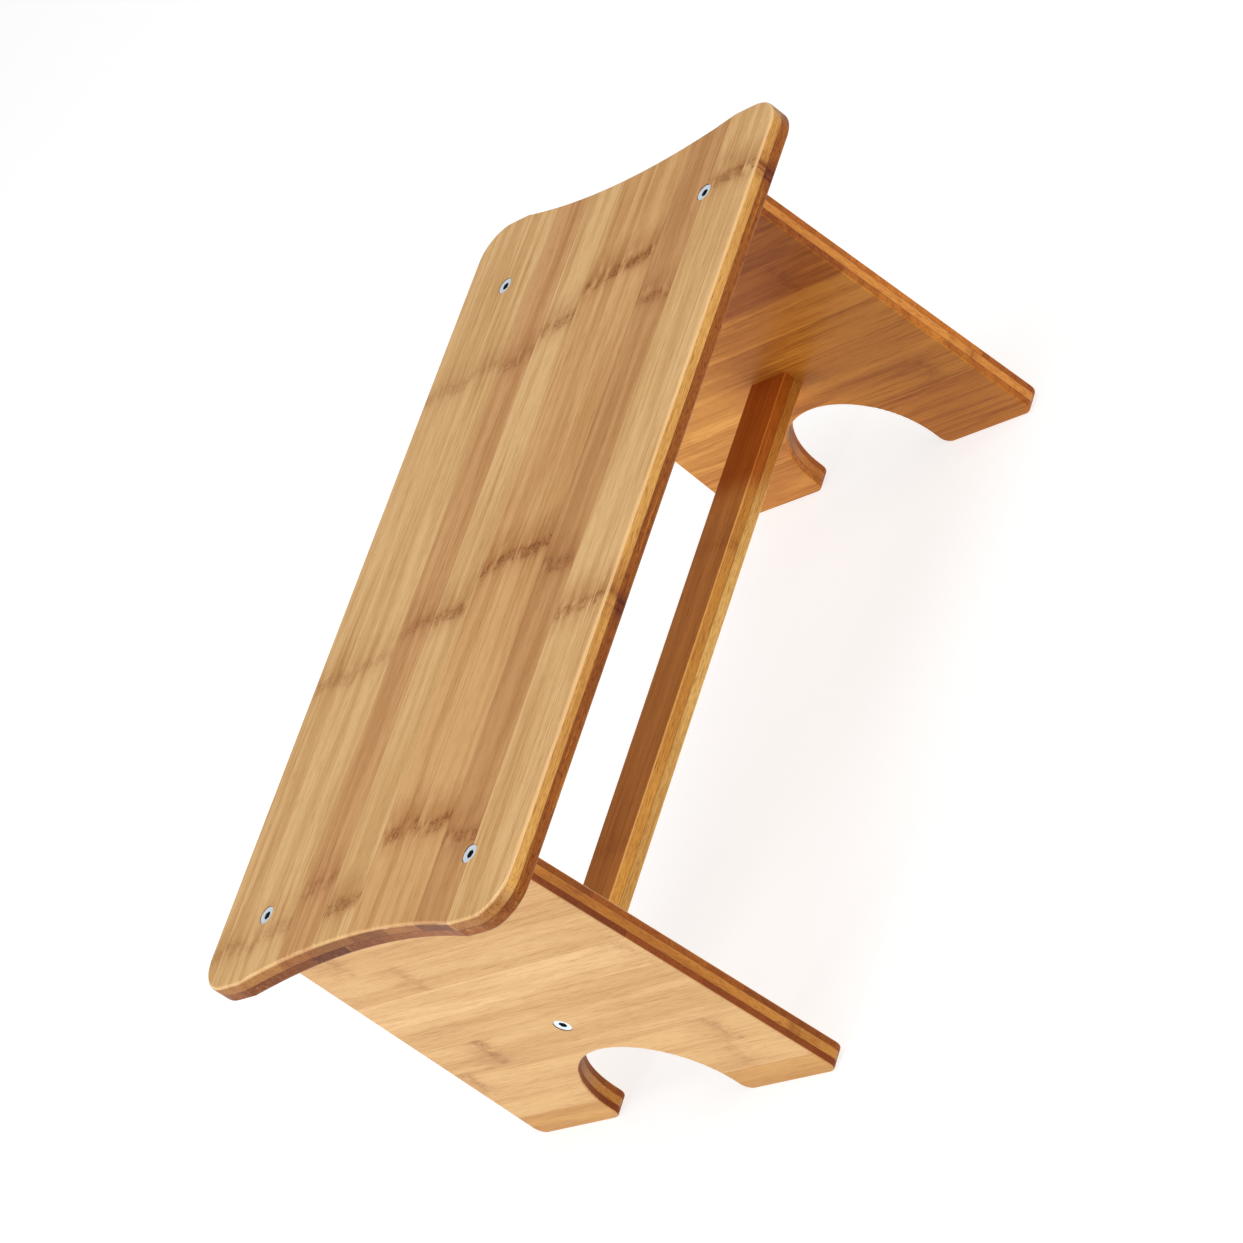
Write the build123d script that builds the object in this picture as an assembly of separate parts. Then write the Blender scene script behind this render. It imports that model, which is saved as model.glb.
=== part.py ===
from build123d import *
import math
import os

# Flat-topped bamboo foot stool: a laminated deck board carried by two laminated
# end panels, which one flat stretcher bar ties together. Millimetres, +Z up,
# +X along the deck, origin on the floor under the middle of the deck.

# ---- deck board: two plies glued face to face ----
DECK_LENGTH = 390.0
DECK_WIDTH = 200.0
DECK_PLY = 5.3
DECK_CORNER_R = 17.0
SCOOP_HALF_CHORD = 71.0
SCOOP_DEPTH = 8.3
DECK_ARRIS_R = 1.5

# ---- end panels: a core ply between two face plies, tapering upwards ----
PANEL_HEIGHT = 162.4
PANEL_BASE_WIDTH = 190.0
PANEL_TAPER_DEG = 3.2
PANEL_FACE_PLY = 3.2
PANEL_CORE_PLY = 4.1
PANEL_SPACING = 328.0
PANEL_SHIFT_X = 5.0
PANEL_ARRIS_R = 1.0
ARCH_R = 40.0
ARCH_CENTRE_Z = 6.5
FOOT_CORNER_R = 5.0

# ---- stretcher bar: two plies laid flat between the panels ----
BAR_WIDTH = 23.0
BAR_PLY = 5.3
BAR_CENTRE_Z = 67.0
BAR_ARRIS_R = 0.8

# ---- countersunk socket-head wood screws, 4 x 45 ----
SCREW_LENGTH = 45.0
HEAD_R = 4.0
HEAD_RIM = 0.4
SHANK_R = 2.0
SHANK_LENGTH = 9.8
ROOT_R = 1.6
TIP_LENGTH = 3.0
SOCKET_ACROSS_FLATS = 3.0
SOCKET_DEPTH = 2.2
HEAD_RECESS = 0.3
HEAD_SIDE_GAP = 0.1
CLEARANCE_HOLE_R = 2.2
PILOT_END_GAP = 0.5
SCREW_HALF_PITCH_Y = 68.0

# ---- locating dowels that keep the bar from turning on its single screw ----
DOWEL_R = 2.0
DOWEL_LENGTH = 16.0
DOWEL_IN_PANEL = 6.5
DOWEL_Y = -7.0
DOWEL_END_GAP = 0.3
DOWEL_CHAMFER = 0.5

# ---- sizes that follow from the ones above ----
DECK_THICKNESS = 2 * DECK_PLY
DECK_TOP_Z = PANEL_HEIGHT + DECK_THICKNESS
PANEL_THICKNESS = 2 * PANEL_FACE_PLY + PANEL_CORE_PLY
PANEL_TOP_WIDTH = PANEL_BASE_WIDTH - 2 * PANEL_HEIGHT * math.tan(math.radians(PANEL_TAPER_DEG))
PANEL_OUTER_OFFSET = PANEL_SPACING / 2
PANEL_INNER_OFFSET = PANEL_OUTER_OFFSET - PANEL_THICKNESS
PANEL_MID_OFFSET = PANEL_OUTER_OFFSET - PANEL_THICKNESS / 2
SCOOP_R = (SCOOP_HALF_CHORD**2 + SCOOP_DEPTH**2) / (2 * SCOOP_DEPTH)

# each end panel's name and the direction in which it faces
ENDS = {"right": 1, "left": -1}


def deck_outline():
    """Plan of the deck: rounded corners, and a shallow scoop in each short end."""
    outline = RectangleRounded(DECK_LENGTH, DECK_WIDTH, DECK_CORNER_R)
    for side in ENDS.values():
        scoop_x = side * (DECK_LENGTH / 2 + SCOOP_R - SCOOP_DEPTH)
        outline -= Pos(scoop_x, 0) * Circle(SCOOP_R)
    return outline


def panel_outline():
    """Elevation of an end panel: a trapezoid with an arch between its two feet."""
    blank = make_face(
        Polyline(
            (-PANEL_BASE_WIDTH / 2, 0),
            (PANEL_BASE_WIDTH / 2, 0),
            (PANEL_TOP_WIDTH / 2, PANEL_HEIGHT),
            (-PANEL_TOP_WIDTH / 2, PANEL_HEIGHT),
            close=True,
        )
    )
    arch = Pos(0, ARCH_CENTRE_Z) * Circle(ARCH_R)
    arch += Pos(0, ARCH_CENTRE_Z / 2) * Rectangle(2 * ARCH_R, ARCH_CENTRE_Z)
    outline = blank - arch
    foot_corners = outline.vertices().group_by(Axis.Y)[0]
    return fillet(foot_corners, FOOT_CORNER_R)


def screw():
    """One wood screw along -Z, with the flat of its head at Z = 0."""
    cone_end = HEAD_RIM + HEAD_R - SHANK_R
    root_start = SHANK_LENGTH + SHANK_R - ROOT_R
    half_section = make_face(
        Polyline(
            (0, 0),
            (HEAD_R, 0),
            (HEAD_R, -HEAD_RIM),
            (SHANK_R, -cone_end),
            (SHANK_R, -SHANK_LENGTH),
            (ROOT_R, -root_start),
            (ROOT_R, -(SCREW_LENGTH - TIP_LENGTH)),
            (0, -SCREW_LENGTH),
            close=True,
        )
    )
    body = revolve(Plane.XZ * half_section, Axis.Z)
    hexagon = RegularPolygon(SOCKET_ACROSS_FLATS / 2, 6, major_radius=False)
    return body - extrude(hexagon, -SOCKET_DEPTH)


def screw_hole(board_thickness):
    """Everything drilled for one screw: countersink, clearance hole and pilot hole."""
    rim_depth = HEAD_RECESS + HEAD_RIM
    cone_depth = rim_depth + HEAD_R - CLEARANCE_HOLE_R
    pilot_depth = HEAD_RECESS + SCREW_LENGTH + PILOT_END_GAP
    half_section = make_face(
        Polyline(
            (0, 0),
            (HEAD_R + HEAD_SIDE_GAP, 0),
            (HEAD_R + HEAD_SIDE_GAP, -rim_depth),
            (HEAD_R, -rim_depth),
            (CLEARANCE_HOLE_R, -cone_depth),
            (CLEARANCE_HOLE_R, -board_thickness),
            (ROOT_R, -board_thickness),
            (ROOT_R, -pilot_depth),
            (0, -pilot_depth),
            close=True,
        )
    )
    return revolve(Plane.XZ * half_section, Axis.Z)


def dowel(extra_length=0.0):
    """One dowel along X, centred on the origin. Extra length makes the hole for it."""
    pin = Rot(0, 90, 0) * Cylinder(DOWEL_R, DOWEL_LENGTH + extra_length)
    if extra_length == 0.0:
        pin = chamfer(pin.edges().filter_by(GeomType.CIRCLE), DOWEL_CHAMFER)
    return pin


def deck_screw_place(side, row):
    """Where a deck screw's hole starts, at the top of the deck."""
    return Pos(PANEL_SHIFT_X + side * PANEL_MID_OFFSET, row * SCREW_HALF_PITCH_Y, DECK_TOP_Z)


def bar_screw_place(side):
    """Where a bar screw's hole starts, on the outer face of an end panel."""
    turn = Rot(0, 90 * side, 0)
    return Pos(PANEL_SHIFT_X + side * PANEL_OUTER_OFFSET, 0, BAR_CENTRE_Z) * turn


def dowel_place(side):
    """The middle of a dowel, across the joint between a panel and the bar."""
    dowel_x = PANEL_INNER_OFFSET + DOWEL_IN_PANEL - DOWEL_LENGTH / 2
    return Pos(PANEL_SHIFT_X + side * dowel_x, DOWEL_Y, BAR_CENTRE_Z)


def drilled_holes():
    """All drilled holes of the assembly, cut through every ply that they cross."""
    holes = []
    for side in ENDS.values():
        for row in (-1, 1):
            holes.append(deck_screw_place(side, row) * screw_hole(DECK_THICKNESS))
        holes.append(bar_screw_place(side) * screw_hole(PANEL_THICKNESS))
        holes.append(dowel_place(side) * dowel(2 * DOWEL_END_GAP))
    return holes


def deck_plies():
    """Upper and lower ply of the deck, each with one eased arris."""
    outline = deck_outline()
    lower = extrude(Pos(0, 0, PANEL_HEIGHT) * outline, DECK_PLY)
    upper = Pos(0, 0, DECK_PLY) * lower
    lower = fillet(lower.faces().sort_by(Axis.Z)[0].edges(), DECK_ARRIS_R)
    upper = fillet(upper.faces().sort_by(Axis.Z)[-1].edges(), DECK_ARRIS_R)
    return {"deck_upper_ply": upper, "deck_lower_ply": lower}


def panel_ply(side, inner_offset, thickness, eased_offset=None):
    """One ply of an end panel, with its arris eased on the face at eased_offset."""
    start = PANEL_SHIFT_X + side * inner_offset
    ply = extrude(Plane.YZ.offset(start) * panel_outline(), side * thickness)
    if eased_offset is None:
        return ply
    eased_x = PANEL_SHIFT_X + side * eased_offset
    eased_face = ply.faces().filter_by(Axis.X).sort_by(lambda face: abs(face.center().X - eased_x))[0]
    arrises = eased_face.edges().filter_by(lambda edge: edge.center().Z < PANEL_HEIGHT - PANEL_ARRIS_R)
    return fillet(arrises, PANEL_ARRIS_R)


def end_panel_plies():
    """Inner face, core and outer face plies of both end panels."""
    core_start = PANEL_INNER_OFFSET + PANEL_FACE_PLY
    outer_start = core_start + PANEL_CORE_PLY
    plies = {}
    for end, side in ENDS.items():
        name = f"{end}_end_panel"
        plies[f"{name}_inner_ply"] = panel_ply(side, PANEL_INNER_OFFSET, PANEL_FACE_PLY, PANEL_INNER_OFFSET)
        plies[f"{name}_core_ply"] = panel_ply(side, core_start, PANEL_CORE_PLY)
        plies[f"{name}_outer_ply"] = panel_ply(side, outer_start, PANEL_FACE_PLY, PANEL_OUTER_OFFSET)
    return plies


def bar_plies():
    """Upper and lower ply of the stretcher bar, with the long arrises eased."""
    length = 2 * PANEL_INNER_OFFSET
    plies = {}
    for name, side in {"stretcher_upper_ply": 1, "stretcher_lower_ply": -1}.items():
        ply = Pos(PANEL_SHIFT_X, 0, BAR_CENTRE_Z + side * BAR_PLY / 2) * Box(length, BAR_WIDTH, BAR_PLY)
        outside = ply.faces().sort_by(Axis.Z)[-1 if side > 0 else 0]
        plies[name] = fillet(outside.edges().filter_by(Axis.X), BAR_ARRIS_R)
    return plies


def hardware():
    """Screws and dowels, each in its own place."""
    recess = Pos(0, 0, -HEAD_RECESS)
    pieces = {}
    for end, side in ENDS.items():
        for corner, row in {"front": -1, "rear": 1}.items():
            pieces[f"deck_screw_{end}_{corner}"] = deck_screw_place(side, row) * recess * screw()
        pieces[f"stretcher_screw_{end}"] = bar_screw_place(side) * recess * screw()
        pieces[f"stretcher_dowel_{end}"] = dowel_place(side) * dowel()
    return pieces


holes = drilled_holes()
nodes = {}
for name, board in {**deck_plies(), **end_panel_plies(), **bar_plies()}.items():
    nodes[name] = board - holes
nodes.update(hardware())

os.makedirs("parts", exist_ok=True)
for name, shape in nodes.items():
    shape.label = name
    export_step(shape, f"parts/{name}.step")
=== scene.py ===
import math
import random
from dataclasses import dataclass

import bmesh
import bpy
from mathutils import Matrix, Vector


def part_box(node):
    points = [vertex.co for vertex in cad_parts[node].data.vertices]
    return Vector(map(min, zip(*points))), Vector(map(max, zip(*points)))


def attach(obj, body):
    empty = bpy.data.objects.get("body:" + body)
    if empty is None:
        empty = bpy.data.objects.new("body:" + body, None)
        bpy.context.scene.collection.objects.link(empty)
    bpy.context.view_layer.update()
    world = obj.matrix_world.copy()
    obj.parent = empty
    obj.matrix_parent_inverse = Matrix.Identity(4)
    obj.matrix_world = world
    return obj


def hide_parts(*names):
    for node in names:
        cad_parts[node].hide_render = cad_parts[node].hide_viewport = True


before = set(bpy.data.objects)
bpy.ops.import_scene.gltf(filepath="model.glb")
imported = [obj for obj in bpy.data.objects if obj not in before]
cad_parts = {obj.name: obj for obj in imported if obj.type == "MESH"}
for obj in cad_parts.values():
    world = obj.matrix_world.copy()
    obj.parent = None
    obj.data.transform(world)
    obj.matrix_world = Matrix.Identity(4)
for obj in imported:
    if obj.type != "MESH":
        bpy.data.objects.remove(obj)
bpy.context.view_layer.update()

# A flat-topped bamboo foot stool. The plies are the CAD nodes with a solid procedural
# bamboo in them; the six screws are rebuilt with threads, a socket and eased edges.

MM = 0.001
TURN = 2 * math.pi

# ---- camera: where it stands round the stool, in metres, and how far it is rolled ----
CAMERA_TARGET = Vector((-0.00571, -0.00428, 0.09972))
CAMERA_DISTANCE = 1.72879
CAMERA_AZIMUTH = math.radians(147.336)
CAMERA_ELEVATION = math.radians(26.842)
CAMERA_ROLL = math.radians(-54.824)
CAMERA_LENS = 120.794
CAMERA_SENSOR = 36.0

# ---- studio ----
FLOOR_SIZE = 30.0
FLOOR_WHITE = (0.42, 0.42, 0.417, 1.0)
FLOOR_GLOW = 0.75
WORLD_WHITE = (0.96, 0.98, 1.0, 1.0)
WORLD_STRENGTH = 0.26
LIGHTS_AIM = Vector((0, 0, 0.08))
# soft lights: name, place, width and height in metres, and power in watts
SOFTBOXES = [
    ("end_key", (2.1, -0.5, 0.42), 1.2, 0.9, 8.0),
    ("low_key", (2.0, -0.75, 0.30), 0.45, 0.35, 13.0),
    ("top_light", (0.2, 0.1, 2.2), 1.6, 1.2, 23.0),
    ("side_light", (-0.2, 2.1, 0.7), 1.7, 1.1, 21.0),
    ("back_light", (0.7, -2.2, 0.5), 1.4, 0.9, 6.0),
]


def srgb(red, green, blue):
    """A colour given in 8-bit sRGB, as the linear RGBA that shaders take."""
    linear = []
    for level in (red, green, blue):
        share = level / 255
        linear.append(share / 12.92 if share <= 0.04045 else ((share + 0.055) / 1.055) ** 2.4)
    return (*linear, 1.0)


# ---------------------------------------------------------------- node shorthand


class Graph:
    """One material, with short calls for the nodes it is made of."""

    def __init__(self, name):
        self.material = bpy.data.materials.new(name)
        self.material.use_nodes = True
        self.tree = self.material.node_tree
        self.tree.nodes.clear()

    def surface(self):
        """The place on the object in millimetres, and the direction that the surface faces."""
        place = self.node("ShaderNodeTexCoord")
        inputs = {0: place.outputs["Object"], "Scale": 1 / MM}
        in_mm = self.node("ShaderNodeVectorMath", inputs, operation="SCALE")
        return in_mm.outputs[0], place.outputs["Normal"]

    def feed(self, socket, value):
        """Links a socket to another, or sets it to a constant."""
        if isinstance(value, bpy.types.NodeSocket):
            self.tree.links.new(value, socket)
        else:
            socket.default_value = value

    def node(self, kind, inputs=None, **settings):
        """A new node with its settings made and its inputs fed."""
        made = self.tree.nodes.new(kind)
        for key, value in settings.items():
            setattr(made, key, value)
        for key, value in (inputs or {}).items():
            self.feed(made.inputs[key], value)
        return made

    def math(self, operation, *values, clamp=False):
        inputs = dict(enumerate(values))
        return self.node("ShaderNodeMath", inputs, operation=operation, use_clamp=clamp).outputs[0]

    def product(self, first, *others):
        for other in others:
            first = self.math("MULTIPLY", first, other)
        return first

    def sum(self, first, *others):
        for other in others:
            first = self.math("ADD", first, other)
        return first

    def smooth(self, value, low, high):
        """0 below low and 1 above high, with a soft step between. Low may be the larger."""
        inputs = {"Value": value, "From Min": low, "From Max": high}
        return self.node("ShaderNodeMapRange", inputs, interpolation_type="SMOOTHSTEP").outputs["Result"]

    def combine(self, x, y, z):
        return self.node("ShaderNodeCombineXYZ", {"X": x, "Y": y, "Z": z}).outputs[0]

    def separate(self, vector):
        made = self.node("ShaderNodeSeparateXYZ", {0: vector})
        return {axis: made.outputs[axis] for axis in "XYZ"}

    def noise(self, vector, scale=1.0, detail=2.0, roughness=0.5, distortion=0.0):
        inputs = {"Vector": vector, "Scale": scale, "Detail": detail, "Roughness": roughness}
        inputs["Distortion"] = distortion
        return self.node("ShaderNodeTexNoise", inputs, noise_dimensions="3D").outputs[0]

    def chance(self, value):
        """A random number from 0 to 1 for each whole number."""
        return self.node("ShaderNodeTexWhiteNoise", {"W": value}, noise_dimensions="1D").outputs["Value"]

    def tint(self, colour, amount, by, blend="MULTIPLY"):
        """Blends a colour over another by an amount."""
        made = self.node("ShaderNodeMix", data_type="RGBA", blend_type=blend)
        made.clamp_factor = True
        factor, first, second = (made.inputs[i] for i in (0, 6, 7))
        self.feed(factor, amount)
        self.feed(first, colour)
        self.feed(second, by)
        return made.outputs[2]

    def steps(self, index, colours):
        """The colour and alpha at a whole-numbered index in a list, as one constant ramp."""
        count = len(colours)
        middle = self.math("ADD", index, 0.5)
        made = self.node("ShaderNodeValToRGB", {0: self.math("DIVIDE", middle, count)})
        ramp = made.color_ramp
        ramp.interpolation = "CONSTANT"
        while len(ramp.elements) < count:
            ramp.elements.new(1.0)
        for number, (element, colour) in enumerate(zip(ramp.elements, colours)):
            element.position = number / count
            element.color = colour
        return made.outputs["Color"], made.outputs["Alpha"]

    def finish(self, bump=None, bump_mm=0.0, **surface):
        """The material with a Principled surface, whose constants are set on its own sockets."""
        shader = self.node("ShaderNodeBsdfPrincipled")
        for key, value in surface.items():
            self.feed(shader.inputs[key.replace("_", " ")], value)
        if bump is not None:
            inputs = {"Strength": 1.0, "Distance": bump_mm * MM, "Height": bump}
            self.feed(shader.inputs["Normal"], self.node("ShaderNodeBump", inputs).outputs[0])
        output = self.node("ShaderNodeOutputMaterial")
        self.feed(output.inputs["Surface"], shader.outputs[0])
        return self.material


# ---------------------------------------------------------------- bamboo

# strip colours, before the light falls on them
PALE = srgb(236, 198, 146)
LIGHT = srgb(226, 186, 132)
TAN = srgb(218, 172, 118)
BROWN = srgb(203, 154, 103)
AMBER = srgb(212, 163, 98)
HAZEL = srgb(211, 162, 111)
TOFFEE = srgb(190, 136, 84)
DARK = srgb(160, 105, 60)
DARKER = srgb(138, 84, 44)

# tints multiplied over the wood where it is darker
BAND_TINT = (0.84, 0.77, 0.68, 1.0)
STREAK_TINT = (0.82, 0.73, 0.61, 1.0)
THREAD_TINT = (0.80, 0.70, 0.58, 1.0)
PORE_TINT = (0.70, 0.56, 0.42, 1.0)
FLECK_TINT = (0.60, 0.44, 0.30, 1.0)
HAZE_TINT = (0.66, 0.49, 0.35, 1.0)
KNUCKLE_TINT = (0.50, 0.31, 0.22, 1.0)
SEAM_TINT = (0.62, 0.46, 0.32, 1.0)
DARK_END_TINT = (0.60, 0.50, 0.42, 1.0)
BUNDLE_TINT = (0.52, 0.40, 0.32, 1.0)
GLUE_TINT = (0.48, 0.34, 0.22, 1.0)

# length along the grain and width across it of the fibre noises, in millimetres
BAND_SIZE = (130.0, 7.0)
STREAK_SIZE = (52.0, 1.7)
THREAD_SIZE = (16.0, 0.42)
CELL_SIZE = (8.0, 0.34)
FLECK_SIZE = (3.2, 0.50)
# moves each strip's noises to a place of their own
STRIP_SHIFT = 300.0

# how far a knuckle's marks reach from its middle along the grain, in millimetres
SMUDGE_REACH = 6.2
RIDGE_AT = 2.1
RIDGE_HALF_WIDTH = 1.0
SHADOW_REACH = 24.0
SHADOW_EDGE = 6.0
HALO_REACH = 14.0
# how far its line wanders and slants across a strip, and how far it bends the fibres
KNUCKLE_WANDER = 7.0
KNUCKLE_LEAN = 0.35
FIBRE_BEND = 4.0

# how far from a seam or glue line its mark starts, and how near it is full, in millimetres
SEAM_WIDTH = (0.32, 0.10)
SEAM_GROOVE = (0.30, 0.0)
GLUE_WIDTH = (0.40, 0.10)

# how much of the palest tone there is in light streaks, beside seams and on the arrises, whose paleness is
# partly wear and partly a painted highlight
PALE_TONE_SHARE = 0.35
# the depth of the bump map, in millimetres
BUMP_DEPTH = 0.045

# knuckle places are packed in a colour, as a share of this span, and a spare channel is far away
KNUCKLE_SPAN = 1000.0
FAR_AWAY = 450.0


@dataclass
class Ply:
    """A row of strips glued edge to edge, and what is particular to its wood.

    axes are those of its grain, width and thickness. first_seam and pitch, in millimetres, lay out the
    strips, each of which is (tone, knuckle strength, knuckle places). stain colours all of the ply, and
    side_tint and end_tint its cut edges. streak, fleck, seam and wear_and_highlight say how strong its
    streaks, side-grain flecks, seams and pale arrises are; the pale arrises are partly rubbed and partly a
    painted highlight. fade is painted light or shade along the grain, as (unchanged place,
    changed place, tint). glue is the levels, in millimetres through the ply, where it meets its neighbours.
    """

    axes: str
    first_seam: float
    pitch: float
    strips: list
    seed: int
    stain: tuple = (1.0, 1.0, 1.0, 1.0)
    side_tint: tuple = (0.80, 0.65, 0.45, 1.0)
    end_tint: tuple = (0.50, 0.35, 0.20, 1.0)
    streak: float = 1.0
    fleck: float = 0.45
    seam: float = 0.45
    wear_and_highlight: float = 0.40
    fade: tuple = ()
    glue: tuple = ()


class Place:
    """Where a point lies in a ply, in millimetres, with two chances drawn for its strip."""

    def __init__(self, g, ply, position):
        self.along, self.across, self.through = (position[axis] for axis in ply.axes)
        count = g.math("DIVIDE", g.math("SUBTRACT", self.across, ply.first_seam), ply.pitch)
        self.strip = g.math("FLOOR", count)
        self.inside = g.product(g.math("FRACT", count), ply.pitch)
        self.to_seam = g.math("MINIMUM", self.inside, g.math("SUBTRACT", ply.pitch, self.inside))
        self.luck = g.chance(g.sum(self.strip, ply.seed + 0.5))
        self.other_luck = g.chance(g.sum(self.strip, ply.seed + 50.5))
        self.shift = g.product(self.luck, STRIP_SHIFT)

    def stretched(self, g, along_scale, across_scale):
        """Coordinates for a noise on the face, different in every strip."""
        return g.combine(g.product(self.along, along_scale), g.product(self.across, across_scale), self.shift)


def past_knuckle(g, ply, place):
    """Signed distance along the grain from the strip's nearest knuckle, on a slanting, uneven line."""
    places, _ = g.steps(place.strip, [knuckle_colour(spots) for _, _, spots in ply.strips])
    spots = g.node("ShaderNodeSeparateColor", {0: places})
    from_middle = g.math("SUBTRACT", place.inside, ply.pitch / 2)
    lean = g.product(from_middle, g.math("SUBTRACT", place.other_luck, 0.5), KNUCKLE_LEAN)
    waviness = g.noise(g.combine(place.strip, g.product(place.across, 0.16), ply.seed * 1.7))
    wander = g.sum(lean, g.product(g.math("SUBTRACT", waviness, 0.5), KNUCKLE_WANDER))
    nearest = None
    for channel in spots.outputs:
        spot = g.math("MULTIPLY_ADD", channel, KNUCKLE_SPAN, -KNUCKLE_SPAN / 2)
        gap = g.sum(g.math("SUBTRACT", place.along, spot), wander)
        if nearest is None:
            nearest = gap
            continue
        closer = g.math("LESS_THAN", g.math("ABSOLUTE", gap), g.math("ABSOLUTE", nearest))
        nearest = g.math("MULTIPLY_ADD", closer, g.math("SUBTRACT", gap, nearest), nearest)
    return nearest


def knuckle_marks(g, place, past, distance, strength):
    """A knuckle's dark marks, the haze beside it, and the specks that break it up."""
    speckle = g.noise(place.stretched(g, 0.50, 0.65), 1.0, 4.0, 0.7)
    specks = g.smooth(speckle, 0.42, 0.62)
    blotch = g.noise(place.stretched(g, 0.10, 0.20))
    mottled = g.sum(g.product(specks, 0.62), 0.24)
    smudge = g.product(g.smooth(distance, SMUDGE_REACH, 0.8), g.smooth(blotch, 0.25, 0.60), mottled)
    from_ridge = g.math("ABSOLUTE", g.math("SUBTRACT", distance, RIDGE_AT))
    ridge = g.smooth(from_ridge, RIDGE_HALF_WIDTH, 0.1)
    ridge = g.product(ridge, g.smooth(speckle, 0.34, 0.60), g.smooth(blotch, 0.30, 0.55))
    shadow = g.product(g.smooth(past, -SHADOW_REACH, -1.0), g.smooth(past, SHADOW_EDGE, -1.0), 0.75)
    halo = g.product(g.smooth(distance, HALO_REACH, 2.0), 0.35)
    haze = g.product(g.math("MAXIMUM", shadow, halo), g.smooth(blotch, 0.22, 0.52), strength)
    marks = g.product(g.math("MAXIMUM", g.product(ridge, 0.95), smudge), strength)
    return marks, haze, specks


def bamboo(name, ply):
    """Solid bamboo: fibres run along the grain, so a cut across them shows their ends."""
    g = Graph(name)
    position, normal = g.surface()
    place = Place(g, ply, g.separate(position))
    facing = g.separate(normal)
    grain_axis, _, thickness_axis = ply.axes
    face_along = g.math("ABSOLUTE", facing[grain_axis])
    face_through = g.math("ABSOLUTE", facing[thickness_axis])

    strip_colour, strength = g.steps(place.strip, [(*tone[:3], force) for tone, force, _ in ply.strips])
    past = past_knuckle(g, ply, place)
    distance = g.math("ABSOLUTE", past)

    # fibre noises: stretched along the grain, different in every strip, bent beside a knuckle
    swerve = g.noise(place.stretched(g, 0.09, 0.22), 1.0, 1.0)
    near_knuckle = g.smooth(distance, HALO_REACH, 1.0)
    bend = g.product(g.math("SUBTRACT", swerve, 0.5), near_knuckle, strength, FIBRE_BEND)
    bent_across = g.sum(place.across, bend)

    def fibres(size, detail, roughness=0.55, distortion=0.0):
        """A noise drawn out along the grain."""
        length, width = size
        vector = g.combine(
            g.sum(g.product(place.along, 1 / length), place.shift),
            g.sum(g.product(bent_across, 1 / width), place.shift),
            g.sum(g.product(place.through, 1 / width), ply.seed * 7.3),
        )
        return g.noise(vector, 1.0, detail, roughness, distortion)

    bands = fibres(BAND_SIZE, 2.0, 0.5, 0.3)
    streaks = fibres(STREAK_SIZE, 3.0, 0.62, 0.35)
    threads = fibres(THREAD_SIZE, 2.0, 0.6)
    cells = fibres(CELL_SIZE, 1.0)
    flecks = fibres(FLECK_SIZE, 2.0, 0.6)
    calm = g.noise(place.stretched(g, 0.008, 0.08), 1.0, 1.0)
    lively = g.product(g.sum(0.35, g.smooth(calm, 0.38, 0.62)), ply.streak)
    knuckle, haze, specks = knuckle_marks(g, place, past, distance, strength)

    # the cut edges: end grain where they cross the fibres, side grain elsewhere; and the eased arris
    edge = g.smooth(face_through, 0.75, 0.35)
    crossing = g.smooth(face_along, 0.20, 0.70)
    end = g.product(edge, crossing)
    side = g.math("SUBTRACT", edge, end)
    arris = g.product(g.smooth(face_through, 0.15, 0.50), g.smooth(face_through, 0.99, 0.86))
    # the arrises' pale mark, partly wear and partly a painted highlight, weaker on end grain
    rubbed_and_highlight = g.product(arris, g.math("MULTIPLY_ADD", crossing, -0.5, 1.0), ply.wear_and_highlight)
    bundle_vector = g.combine(place.across, place.through, g.product(place.along, 0.15))
    bundles = g.node("ShaderNodeTexVoronoi", {"Vector": bundle_vector, "Scale": 0.9}, feature="F1")
    dots = g.smooth(bundles.outputs["Distance"], 0.42, 0.16)

    def stained_and_painted_light(tone):
        """The tone with the ply's stain, and the light or shade painted on it along the grain."""
        tone = g.tint(tone, 1.0, ply.stain)
        # painted light or shade: the tone is tinted from one place along the grain to another
        if ply.fade:
            unchanged, changed, painted_tint = ply.fade
            tone = g.tint(tone, g.smooth(place.along, unchanged, changed), painted_tint)
        return tone

    # the strip's tone with bands and streaks along it, then pores and flecks
    # the pale tone, for light streaks, pale lines beside seams, and the arrises' wear and painted highlight
    wear_and_highlight = stained_and_painted_light(g.tint(strip_colour, PALE_TONE_SHARE, PALE, "MIX"))
    colour = stained_and_painted_light(strip_colour)
    colour = g.tint(colour, g.product(g.smooth(bands, 0.38, 0.64), ply.streak), BAND_TINT)
    colour = g.tint(colour, g.product(g.smooth(streaks, 0.46, 0.68), lively, 0.65), STREAK_TINT)
    colour = g.tint(colour, g.product(g.smooth(streaks, 0.44, 0.28), lively, 0.40), wear_and_highlight, "MIX")
    colour = g.tint(colour, g.product(g.smooth(threads, 0.50, 0.70), 0.55), THREAD_TINT)
    pores = g.product(g.smooth(cells, 0.55, 0.70), g.sum(0.50, g.product(side, 0.50)))
    colour = g.tint(colour, pores, PORE_TINT)
    colour = g.tint(colour, g.product(side, g.smooth(flecks, 0.48, 0.66), ply.fleck), FLECK_TINT)

    # knuckles, and a dark line at each seam with a pale one beside it
    colour = g.tint(colour, haze, HAZE_TINT)
    colour = g.tint(colour, g.product(knuckle, g.sum(side, 1.0)), KNUCKLE_TINT)
    colour = g.tint(colour, g.product(g.smooth(place.to_seam, *SEAM_WIDTH), ply.seam), SEAM_TINT)
    beside_seam = g.product(g.smooth(place.inside, 1.5, 0.9), g.smooth(place.inside, 0.25, 0.5))
    colour = g.tint(colour, g.product(beside_seam, place.other_luck, ply.seam), wear_and_highlight, "MIX")
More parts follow.
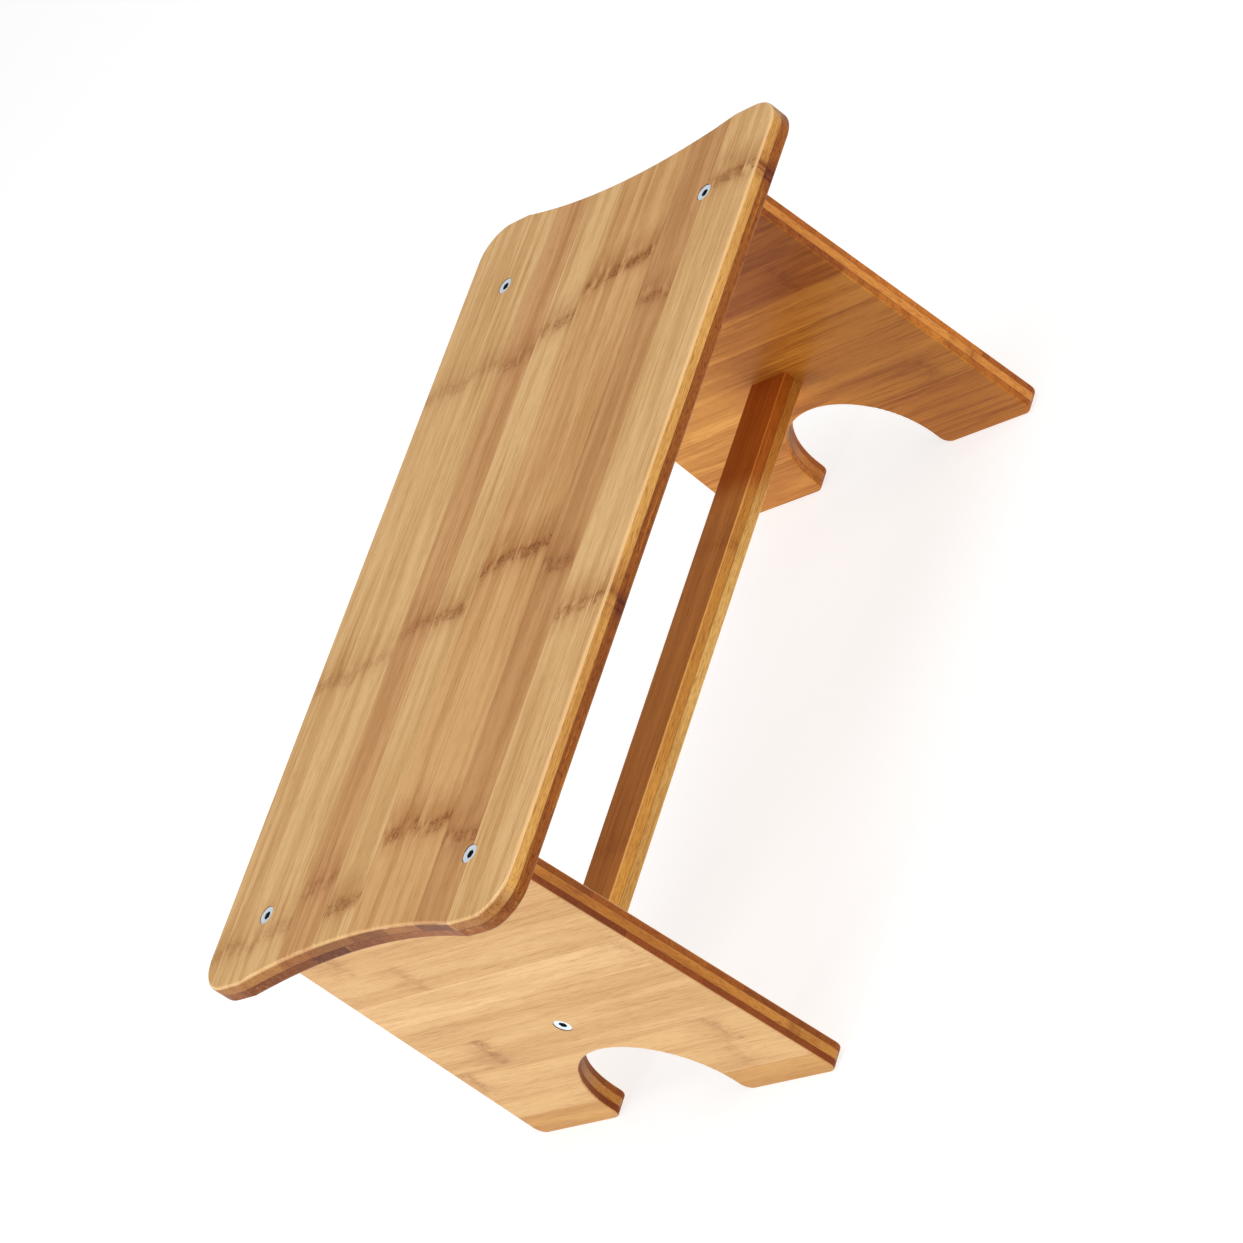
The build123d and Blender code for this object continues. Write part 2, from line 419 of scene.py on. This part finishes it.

    # cut edges, pale arrises and glue lines; the pale arrises are partly wear and partly a painted highlight
    colour = g.tint(colour, side, ply.side_tint)
    colour = g.tint(colour, end, ply.end_tint)
    colour = g.tint(colour, g.product(end, place.luck), DARK_END_TINT)
    colour = g.tint(colour, g.product(end, dots, 0.55), BUNDLE_TINT)
    # the arrises paled: partly wear, partly a painted highlight
    colour = g.tint(colour, rubbed_and_highlight, wear_and_highlight, "MIX")
    for level in ply.glue:
        off_line = g.math("ABSOLUTE", g.math("SUBTRACT", place.through, level))
        colour = g.tint(colour, g.product(g.smooth(off_line, *GLUE_WIDTH), 0.5), GLUE_TINT)

    roughness = g.sum(0.36, g.product(threads, 0.10), g.product(end, 0.10), g.product(knuckle, 0.08))
    height = g.sum(
        g.product(threads, 0.35),
        g.product(streaks, 0.5),
        g.product(cells, 0.15),
        g.product(g.smooth(place.to_seam, *SEAM_GROOVE), -0.5),
        g.product(knuckle, specks, -0.5),
        g.product(end, dots, -0.3),
    )
    return g.finish(
        height,
        BUMP_DEPTH,
        Base_Color=colour,
        Roughness=roughness,
        IOR=1.5,
        Specular_IOR_Level=0.14,
        Coat_Weight=g.sum(0.04, rubbed_and_highlight),
        Coat_Roughness=0.15,
        Coat_IOR=1.5,
    )


def knuckle_colour(spots):
    """Up to three places along the grain, in millimetres, packed as one colour."""
    padded = [*spots, FAR_AWAY, FAR_AWAY, FAR_AWAY][:3]
    return (*[spot / KNUCKLE_SPAN + 0.5 for spot in padded], 1.0)


def random_strips(seed, count, tones, spacing, reach, force):
    """Strips with tones picked at random, and knuckles at a bamboo stem's uneven spacing."""
    dice = random.Random(seed)
    strips = []
    for _ in range(count):
        start = dice.uniform(-reach, -reach + spacing)
        spots = [start + step * spacing * dice.uniform(0.9, 1.1) for step in range(3)]
        strips.append((dice.choice(tones), force * dice.uniform(0.6, 1.0), spots))
    return strips


DECK_PITCH = 22.9
DECK_FIRST_SEAM = -5 * DECK_PITCH
LOWER_DECK_FIRST_SEAM = DECK_FIRST_SEAM - 8
# from the -Y edge to the +Y edge: tone, how strong its knuckles are, and where they lie
DECK_STRIPS = [
    (LIGHT, 0.5, (-100, 50, 179)),
    (LIGHT, 0.45, (-101, 49, 177)),
    (LIGHT, 0.45, (-104, 46, 173)),
    (HAZEL, 0.6, (-101, 34, 157)),
    (LIGHT, 0.8, (-112, 35, 171)),
    (TAN, 1.0, (-128, 16, 142)),
    (TAN, 1.0, (-131, 15, 144)),
    (BROWN, 0.7, (-104, 29, 154)),
    (LIGHT, 0.9, (-157, 56)),
    (LIGHT, 1.0, (-158, 54)),
]

PANEL_PITCH = 18.95
PANEL_FIRST_SEAM = -4.65
FAR_INNER_FIRST_SEAM = PANEL_FIRST_SEAM + 1
CORE_FIRST_SEAM = -104.2
# from the floor up: tone, how strong its knuckles are, and where they lie
NEAR_FACE_STRIPS = [
    (AMBER, 0.3, ()),
    (LIGHT, 0.3, (62,)),
    (LIGHT, 0.5, (72, -85)),
    (LIGHT, 0.65, (-54,)),
    (LIGHT, 0.2, ()),
    (PALE, 0.35, (84,)),
    (LIGHT, 0.35, (-36,)),
    (LIGHT, 0.35, (-62,)),
    (LIGHT, 0.3, (20,)),
]
FAR_INNER_STRIPS = [
    (TAN, 0.3, ()),
    (TAN, 0.3, (-30,)),
    (LIGHT, 0.45, (74,)),
    (PALE, 0.3, (-75,)),
    (LIGHT, 0.2, ()),
    (PALE, 0.2, ()),
    # the three upper strips, just under the deck, are BROWN: partly the wood's own tone, partly painted shade
    (BROWN, 0.4, (62,)),
    (BROWN, 0.3, (40,)),
    (BROWN, 0.3, ()),
]

# the bar and each dowel are cut from one strip, wider than they are, with its seams outside them
ONE_STRIP = 24
BAR_FIRST_SEAM = -12
DOWEL_FIRST_SEAM = -20

# plies glued face to face, and the axis through each stack: 0 is X and 2 is Z
STACKS = [
    (("deck_lower_ply", "deck_upper_ply"), 2),
    (("stretcher_lower_ply", "stretcher_upper_ply"), 2),
    (("right_end_panel_inner_ply", "right_end_panel_core_ply", "right_end_panel_outer_ply"), 0),
    (("left_end_panel_inner_ply", "left_end_panel_core_ply", "left_end_panel_outer_ply"), 0),
]


def glue_lines():
    """For each ply, where it meets its neighbours, in millimetres along the axis through them."""
    lines = {}
    for stack, axis in STACKS:
        for first, second in zip(stack, stack[1:]):
            level = max(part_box(first)[0][axis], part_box(second)[0][axis]) / MM
            for name in (first, second):
                lines[name] = (*lines.get(name, ()), level)
    return lines


def wood_materials():
    """One material for each ply, because no two plies are sawn from the same strips."""
    dark = [DARK, DARKER, DARK, TOFFEE]
    faces = [LIGHT, LIGHT, PALE, TAN]
    lower_deck_strips = random_strips(seed=5, count=9, tones=dark, spacing=150, reach=190, force=0.8)
    # its +Y strip shows along the side, where its knuckles are seen in line with the upper ply's
    lower_deck_strips.append((DARK, 1.0, (-157, 55)))
    plies = {
        "deck_upper_ply": Ply(
            "XYZ",
            DECK_FIRST_SEAM,
            DECK_PITCH,
            DECK_STRIPS,
            seed=11,
            stain=(1.11, 1.09, 1.05, 1.0),
            side_tint=(0.82, 0.69, 0.38, 1.0),
            wear_and_highlight=0.65,
        ),
        "deck_lower_ply": Ply(
            "XYZ",
            LOWER_DECK_FIRST_SEAM,
            DECK_PITCH,
            lower_deck_strips,
            seed=12,
            side_tint=(1.0, 0.75, 0.135, 1.0),
            end_tint=(0.98, 0.82, 0.52, 1.0),
            streak=1.6,
            fleck=1.0,
            wear_and_highlight=0.0,
        ),
        "right_end_panel_outer_ply": Ply(
            "YZX",
            PANEL_FIRST_SEAM,
            PANEL_PITCH,
            NEAR_FACE_STRIPS,
            seed=21,
            stain=(0.91, 0.86, 0.77, 1.0),
            end_tint=(0.45, 0.17, 0.025, 1.0),
            streak=0.75,
            seam=0.18,
            wear_and_highlight=0.30,
        ),
        "left_end_panel_inner_ply": Ply(
            "YZX",
            FAR_INNER_FIRST_SEAM,
            PANEL_PITCH,
            FAR_INNER_STRIPS,
            seed=22,
            # its dark, saturated stain is painted shade, as this face lies under the deck; its tint towards
            # -Y is painted light
            stain=(0.77, 0.47, 0.13, 1.0),
            end_tint=(1.0, 0.85, 0.70, 1.0),
            streak=2.0,
            seam=0.25,
            wear_and_highlight=0.0,
            fade=(5, -50, (1.20, 1.42, 2.20, 1.0)),
        ),
        "stretcher_upper_ply": Ply(
            "XYZ",
            BAR_FIRST_SEAM,
            ONE_STRIP,
            [(TAN, 0.25, (-60, 90))],
            seed=41,
            stain=(1.24, 1.06, 0.60, 1.0),
            side_tint=(0.74, 0.70, 0.47, 1.0),
            wear_and_highlight=0.80,
            # painted shadow: darker towards the bar's -X end beside the far panel, where the deck shades it,
            # its pale arris too; the haze of the knuckle at -60 darkens that end as well
            fade=(-80, -98, (0.66, 0.38, 0.18, 1.0)),
        ),
        "stretcher_lower_ply": Ply(
            "XYZ",
            BAR_FIRST_SEAM,
            ONE_STRIP,
            [(LIGHT, 0.10, (-110, 40))],
            seed=42,
            stain=(0.92, 0.82, 0.46, 1.0),
            side_tint=(1.0, 1.04, 1.11, 1.0),
            # painted shadow: darker towards the bar's -X end, where the deck shades it
            fade=(-80, -105, (0.76, 0.54, 0.32, 1.0)),
        ),
        "stretcher_dowel_left": Ply("XYZ", DOWEL_FIRST_SEAM, ONE_STRIP, [(LIGHT, 0.0, ())], seed=51),
        "stretcher_dowel_right": Ply("XYZ", DOWEL_FIRST_SEAM, ONE_STRIP, [(LIGHT, 0.0, ())], seed=52),
    }
    # the face plies whose broad faces the photo doesn't show: (seed, end_tint)
    hidden_faces = {
        "right_end_panel_inner_ply": (31, (0.55, 0.28, 0.06, 1.0)),
        "left_end_panel_outer_ply": (32, (0.88, 0.50, 0.14, 1.0)),
    }
    for name, (seed, end_tint) in hidden_faces.items():
        strips = random_strips(seed, count=9, tones=faces, spacing=150, reach=95, force=0.6)
        stain = (0.95, 0.86, 0.74, 1.0)
        plies[name] = Ply("YZX", PANEL_FIRST_SEAM, PANEL_PITCH, strips, seed, stain=stain, end_tint=end_tint)
    # the cores, whose grain is upright: (seed, side_tint, fade); the right core's tint is painted light,
    # lighter and paler towards the floor on the arch's inner surface
    cores = {
        "right_end_panel_core_ply": (33, (0.73, 0.48, 0.17, 1.0), (60, 15, (1.10, 1.25, 1.50, 1.0))),
        "left_end_panel_core_ply": (34, (0.90, 0.60, 0.23, 1.0), ()),
    }
    for name, (seed, side_tint, fade) in cores.items():
        strips = random_strips(seed, count=11, tones=[BROWN, TAN], spacing=120, reach=30, force=0.6)
        plies[name] = Ply("ZYX", CORE_FIRST_SEAM, PANEL_PITCH, strips, seed, side_tint=side_tint, fade=fade)
    lines = glue_lines()
    for name, ply in plies.items():
        ply.glue = lines.get(name, ())
    return {name: bamboo(f"bamboo_{name}", ply) for name, ply in plies.items()}


def dress(node_name, material):
    """Gives a CAD node its finished material."""
    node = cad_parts[node_name]
    for slot in node.material_slots:
        slot.material = material


# ---------------------------------------------------------------- screws

# how finely a screw is divided: round it, over the rim of its head, and in millimetres down its thread
SEGMENTS = 48
RIM_STEPS = 4
THREAD_STEP = 0.3

# its sizes in millimetres; a depth, or the place where a stretch ends, is from the flat of the head
HEAD_R = 4.0
RIM_R = 0.12
HEAD_RIM = 0.4
SHANK_R = 2.0
SHANK_END = 9.8
THREAD_ROOT_R = 1.6
THREAD_PITCH = 1.8
THREAD_END = 42.0
SCREW_LENGTH = 45.0
SOCKET_APOTHEM = 1.5
SOCKET_CHAMFER = 0.30
DISH_R = 2.7
DISH_DEPTH = 0.12
SOCKET_DEPTH = 2.2
SOCKET_POINT = 0.4
# half the width of a thread's ridge, as a share of the pitch
CREST_SHARE = 0.28
SHARP_ANGLE = math.radians(32)

STEEL = srgb(228, 240, 250)
MOTTLING_TINT = (0.93, 0.95, 0.92, 1.0)
TURNING_TINT = (0.86, 0.87, 0.88, 1.0)
SOCKET_SHADE_TINT = (0.02, 0.02, 0.025, 1.0)
# where the painted shade in the socket starts and where it is full, in millimetres
SOCKET_SHADE_R = (2.10, 1.75)
SOCKET_SHADE_Z = (-0.13, -0.28)
STEEL_BUMP = 0.012


def circle_radius(radius):
    """The same radius at every angle."""
    return lambda angle: radius


def hexagon_radius(apothem):
    """Distance from the middle to the side of a hexagon at an angle."""
    sixth = TURN / 6
    return lambda angle: apothem / math.cos((angle + sixth / 2) % sixth - sixth / 2)


def thread_radius(depth):
    """A sharp-crested wood-screw thread that runs out towards the tip."""
    taper = min(1.0, (SCREW_LENGTH - depth) / (SCREW_LENGTH - THREAD_END))
    rise = min(1.0, (depth - SHANK_END) / THREAD_PITCH)

    def radius(angle):
        phase = (depth / THREAD_PITCH - angle / TURN) % 1.0
        crest = max(0.0, 1 - abs(phase - 0.5) / CREST_SHARE)
        return taper * (THREAD_ROOT_R + rise * crest * (SHANK_R - THREAD_ROOT_R))

    return radius


def screw_rings():
    """(depth, radius at an angle) from the bottom of the socket, over the head, to the tip."""
    rings = [
        (SOCKET_DEPTH, hexagon_radius(SOCKET_APOTHEM)),
        (DISH_DEPTH + SOCKET_CHAMFER, hexagon_radius(SOCKET_APOTHEM)),
        (DISH_DEPTH, hexagon_radius(SOCKET_APOTHEM + SOCKET_CHAMFER)),
        (DISH_DEPTH, circle_radius(DISH_R)),
        (0.0, circle_radius(HEAD_R - 3 * RIM_R)),
    ]
    for step in range(RIM_STEPS + 1):
        angle = step / RIM_STEPS * TURN / 4
        radius = HEAD_R - RIM_R * (1 - math.sin(angle))
        rings.append((RIM_R * (1 - math.cos(angle)), circle_radius(radius)))
    rings.append((HEAD_RIM, circle_radius(HEAD_R)))
    rings.append((HEAD_RIM + HEAD_R - SHANK_R, circle_radius(SHANK_R)))
    rings.append((SHANK_END, circle_radius(SHANK_R)))
    steps = int((SCREW_LENGTH - SHANK_END) / THREAD_STEP)
    for step in range(1, steps):
        depth = SHANK_END + step * THREAD_STEP
        rings.append((depth, thread_radius(depth)))
    return rings


def screw_mesh():
    """One screw along -Z with the flat of its head at the origin."""
    mesh = bpy.data.meshes.new("socket_screw")
    bm = bmesh.new()
    loops = []
    for depth, radius_at in screw_rings():
        loop = []
        for step in range(SEGMENTS):
            angle = step * TURN / SEGMENTS
            radius = radius_at(angle) * MM
            place = (radius * math.cos(angle), radius * math.sin(angle), -depth * MM)
            loop.append(bm.verts.new(place))
        loops.append(loop)
    for upper, lower in zip(loops, loops[1:]):
        for step in range(SEGMENTS):
            after = (step + 1) % SEGMENTS
            bm.faces.new((upper[step], lower[step], lower[after], upper[after]))
    floor_point = bm.verts.new((0, 0, -(SOCKET_DEPTH + SOCKET_POINT) * MM))
    tip_point = bm.verts.new((0, 0, -SCREW_LENGTH * MM))
    for step in range(SEGMENTS):
        after = (step + 1) % SEGMENTS
        bm.faces.new((floor_point, loops[0][step], loops[0][after]))
        bm.faces.new((tip_point, loops[-1][after], loops[-1][step]))
    bmesh.ops.recalc_face_normals(bm, faces=bm.faces)
    bm.to_mesh(mesh)
    bm.free()
    for polygon in mesh.polygons:
        polygon.use_smooth = True
    mesh.set_sharp_from_angle(angle=SHARP_ANGLE)
    return mesh


def zinc_steel():
    """Bright zinc plate: turning marks on the head, a faint blue cast, and shade painted near-black in the
    socket.
    """
    g = Graph("zinc_plated_steel")
    position, _ = g.surface()
    spot = g.separate(position)
    radius = g.math("SQRT", g.sum(g.product(spot["X"], spot["X"]), g.product(spot["Y"], spot["Y"])))
    rings = g.noise(g.combine(g.product(radius, 6.0), 0.0, 0.0), 1.0, 2.0)
    mottling = g.noise(position, 0.7, 3.0)
    wear = g.noise(position, 3.0, 2.0)
    # painted shade: the recess of the socket coloured near-black
    socket_shade = g.product(g.smooth(radius, *SOCKET_SHADE_R), g.smooth(spot["Z"], *SOCKET_SHADE_Z))
    colour = g.tint(STEEL, g.smooth(mottling, 0.45, 0.7), MOTTLING_TINT)
    colour = g.tint(colour, g.product(g.smooth(rings, 0.45, 0.7), 0.5), TURNING_TINT)
    colour = g.tint(colour, socket_shade, SOCKET_SHADE_TINT)
    roughness = g.sum(0.30, g.product(rings, 0.12), g.product(wear, 0.10), g.product(socket_shade, 0.3))
    height = g.sum(g.product(rings, 0.7), g.product(wear, 0.3))
    return g.finish(height, STEEL_BUMP, Base_Color=colour, Roughness=roughness, Metallic=0.15)


def place_screws():
    """Six detailed screws where the CAD screws are, each with its socket turned its own way."""
    mesh = screw_mesh()
    mesh.materials.append(zinc_steel())
    dice = random.Random(4)
    for name in sorted(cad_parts):
        if "_screw_" not in name:
            continue
        low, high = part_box(name)
        middle = (low + high) / 2
        head = Vector((middle.x, middle.y, high.z))
        lay = Matrix.Identity(4)
        if name.startswith("stretcher"):
            side = 1 if middle.x > 0 else -1
            head = Vector((high.x if side > 0 else low.x, middle.y, middle.z))
            lay = Matrix.Rotation(side * TURN / 4, 4, "Y")
        screw = bpy.data.objects.new(f"socket_{name}", mesh)
        bpy.context.scene.collection.objects.link(screw)
        twist = Matrix.Rotation(dice.uniform(0, TURN / 6), 4, "Z")
        screw.matrix_world = Matrix.Translation(head) @ lay @ twist
        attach(screw, "root")
        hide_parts(name)


# ---------------------------------------------------------------- studio


def build_floor():
    """A wide pale floor with light of its own, so that hardly a shadow shows on it."""
    mesh = bpy.data.meshes.new("floor")
    bm = bmesh.new()
    bmesh.ops.create_grid(bm, x_segments=4, y_segments=4, size=FLOOR_SIZE / 2)
    bm.to_mesh(mesh)
    bm.free()
    floor = bpy.data.objects.new("floor", mesh)
    bpy.context.scene.collection.objects.link(floor)
    g = Graph("pale_floor")
    mesh.materials.append(
        g.finish(
            Base_Color=FLOOR_WHITE,
            Roughness=0.9,
            Emission_Color=(1.0, 1.0, 1.0, 1.0),
            Emission_Strength=FLOOR_GLOW,
        )
    )


def softbox(name, position, width, height, power):
    """A rectangular soft light aimed at the stool."""
    lamp = bpy.data.lights.new(name, "AREA")
    lamp.shape = "RECTANGLE"
    lamp.size = width
    lamp.size_y = height
    lamp.energy = power
    holder = bpy.data.objects.new(name, lamp)
    bpy.context.scene.collection.objects.link(holder)
    holder.location = position
    holder.rotation_euler = (LIGHTS_AIM - Vector(position)).to_track_quat("-Z", "Y").to_euler()


def build_studio():
    """The floor, a faint light from all round, and five soft lights."""
    world = bpy.data.worlds.new("studio")
    bpy.context.scene.world = world
    world.use_nodes = True
    background = world.node_tree.nodes["Background"]
    background.inputs["Color"].default_value = WORLD_WHITE
    background.inputs["Strength"].default_value = WORLD_STRENGTH
    build_floor()
    for name, position, width, height, power in SOFTBOXES:
        softbox(name, position, width, height, power)
    bpy.context.scene.view_settings.view_transform = "Standard"


def build_camera():
    """Stands at the given azimuth and elevation, looks at the target, then rolls."""
    data = bpy.data.cameras.new("camera")
    data.lens = CAMERA_LENS
    data.sensor_width = CAMERA_SENSOR
    camera = bpy.data.objects.new("camera", data)
    bpy.context.scene.collection.objects.link(camera)
    level = Matrix.Rotation(CAMERA_AZIMUTH, 4, "Z") @ Matrix.Rotation(TURN / 4 - CAMERA_ELEVATION, 4, "X")
    back = level @ Vector((0, 0, CAMERA_DISTANCE))
    rolled = level @ Matrix.Rotation(CAMERA_ROLL, 4, "Z")
    camera.matrix_world = Matrix.Translation(CAMERA_TARGET + back) @ rolled
    bpy.context.scene.camera = camera


build_camera()
build_studio()
for node_name, material in wood_materials().items():
    dress(node_name, material)
place_screws()
